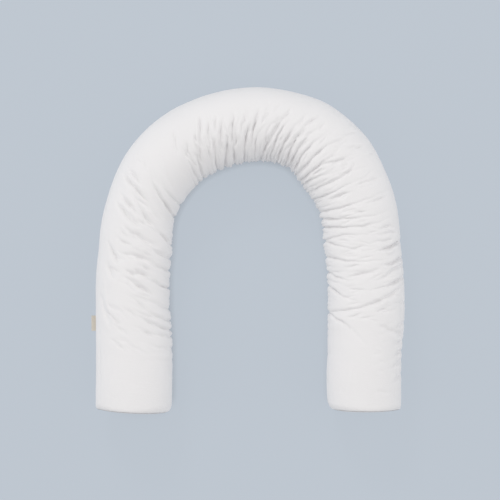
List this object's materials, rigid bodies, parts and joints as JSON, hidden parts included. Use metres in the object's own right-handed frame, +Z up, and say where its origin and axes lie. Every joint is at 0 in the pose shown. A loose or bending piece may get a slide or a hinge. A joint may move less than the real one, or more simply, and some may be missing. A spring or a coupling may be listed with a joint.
{
  "type": "body pillow",
  "caption": "Long white tube pillow bent into an arch, taut round the outside and gathered into folds on the inside, with round sewn ends and a blank side label.",
  "frame": {"origin": "on the surface that the pillow lies on, under the middle of its box", "axes": "+Z up, +Y from the open ends to the crown of the arch, +X towards the leg without the label"},
  "size_m": [0.7624, 0.7908, 0.1667],
  "materials": {
    "white_cotton": "matt plain-woven cotton",
    "cream_tape": "matt woven tape"
  },
  "bodies": {
    "root": {"pillow": "white_cotton", "end_panel_left": "white_cotton", "end_panel_right": "white_cotton", "side_label": "cream_tape"}
  },
  "joints": []
}
